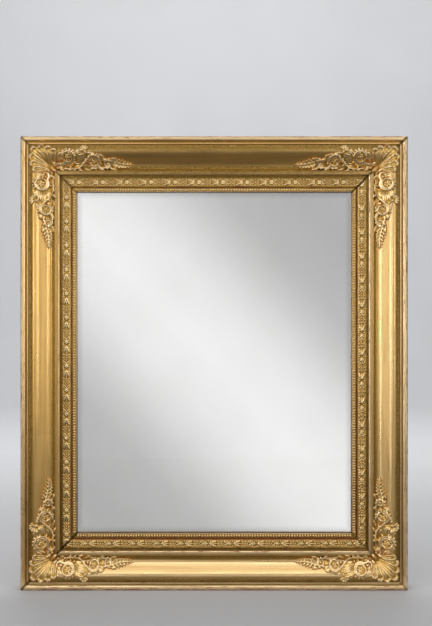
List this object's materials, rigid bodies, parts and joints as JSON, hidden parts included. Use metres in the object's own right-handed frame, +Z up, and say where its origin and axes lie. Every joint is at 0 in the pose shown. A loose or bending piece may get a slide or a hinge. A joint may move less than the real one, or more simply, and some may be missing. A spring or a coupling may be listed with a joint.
{
  "type": "gilt mirror",
  "caption": "Rectangular mirror in a mitred gilt frame with scooped rails, corner ornaments, leaf frieze and beaded sight edge; plank back held by turn buttons, with swinging hanging rings.",
  "frame": {"origin": "middle of the bottom edge that the mirror stands on", "axes": "+Z up, the glass faces -Y, +Y towards the wall, +X to the right seen from the front"},
  "size_m": [0.64, 0.0658, 0.75],
  "materials": {
    "gilt_wood": "gold leaf on bole and gesso over softwood, worn",
    "gilt_composition": "gold leaf on moulded composition, worn",
    "mirror_glass": "polished plate",
    "silvering": "silvered",
    "softwood": "old sawn pine",
    "hardwood": "planed beech, aged",
    "brass": "aged brass",
    "steel": "dull steel"
  },
  "bodies": {
    "frame": {"bottom_rail": "gilt_wood", "bottom_frieze": "gilt_composition", "bottom_bead_slip": "gilt_composition", "bottom_rail_left_spray": "gilt_composition", "bottom_rail_right_spray": "gilt_composition", "right_rail": "gilt_wood", "right_frieze": "gilt_composition", "right_bead_slip": "gilt_composition", "right_rail_bottom_spray": "gilt_composition", "right_rail_top_spray": "gilt_composition", "top_rail": "gilt_wood", "top_frieze": "gilt_composition", "top_bead_slip": "gilt_composition", "top_rail_right_spray": "gilt_composition", "top_rail_left_spray": "gilt_composition", "left_rail": "gilt_wood", "left_frieze": "gilt_composition", "left_bead_slip": "gilt_composition", "left_rail_top_spray": "gilt_composition", "left_rail_bottom_spray": "gilt_composition", "bottom_left_palmette": "gilt_composition", "bottom_left_mitre_key": "hardwood", "bottom_right_palmette": "gilt_composition", "bottom_right_mitre_key": "hardwood", "top_left_palmette": "gilt_composition", "top_left_mitre_key": "hardwood", "top_right_palmette": "gilt_composition", "top_right_mitre_key": "hardwood", "mirror_glass": "mirror_glass", "silvering": "silvering", "glass_blocks": "softwood", "lower_back_plank": "softwood", "middle_back_plank": "softwood", "upper_back_plank": "softwood", "left_hanger_strap": "brass", "right_hanger_strap": "brass", "turn_button_screws": "steel", "hanger_screws": "steel"},
    "left_lower_turn_button": {"left_lower_turn_button": "brass"},
    "left_middle_turn_button": {"left_middle_turn_button": "brass"},
    "left_upper_turn_button": {"left_upper_turn_button": "brass"},
    "right_lower_turn_button": {"right_lower_turn_button": "brass"},
    "right_middle_turn_button": {"right_middle_turn_button": "brass"},
    "right_upper_turn_button": {"right_upper_turn_button": "brass"},
    "left_hanging_ring": {"left_hanging_ring": "brass"},
    "right_hanging_ring": {"right_hanging_ring": "brass"}
  },
  "joints": [
    {"name": "left_lower_turn_button_pivot", "type": "hinge", "parent": "frame", "child": "left_lower_turn_button", "pos_m": [-0.249, 0.02175, 0.17833], "axis": [0, -1, 0], "range_deg": [0, 90]},
    {"name": "left_middle_turn_button_pivot", "type": "hinge", "parent": "frame", "child": "left_middle_turn_button", "pos_m": [-0.249, 0.02175, 0.375], "axis": [0, -1, 0], "range_deg": [0, 90]},
    {"name": "left_upper_turn_button_pivot", "type": "hinge", "parent": "frame", "child": "left_upper_turn_button", "pos_m": [-0.249, 0.02175, 0.57167], "axis": [0, -1, 0], "range_deg": [0, 90]},
    {"name": "right_lower_turn_button_pivot", "type": "hinge", "parent": "frame", "child": "right_lower_turn_button", "pos_m": [0.249, 0.02175, 0.17833], "axis": [0, 1, 0], "range_deg": [0, 90]},
    {"name": "right_middle_turn_button_pivot", "type": "hinge", "parent": "frame", "child": "right_middle_turn_button", "pos_m": [0.249, 0.02175, 0.375], "axis": [0, 1, 0], "range_deg": [0, 90]},
    {"name": "right_upper_turn_button_pivot", "type": "hinge", "parent": "frame", "child": "right_upper_turn_button", "pos_m": [0.249, 0.02175, 0.57167], "axis": [0, 1, 0], "range_deg": [0, 90]},
    {"name": "left_hanging_ring_swing", "type": "hinge", "parent": "frame", "child": "left_hanging_ring", "pos_m": [-0.28, 0.02595, 0.54], "axis": [1, 0, 0], "range_deg": [0, 180]},
    {"name": "right_hanging_ring_swing", "type": "hinge", "parent": "frame", "child": "right_hanging_ring", "pos_m": [0.28, 0.02595, 0.54], "axis": [1, 0, 0], "range_deg": [0, 180]}
  ]
}
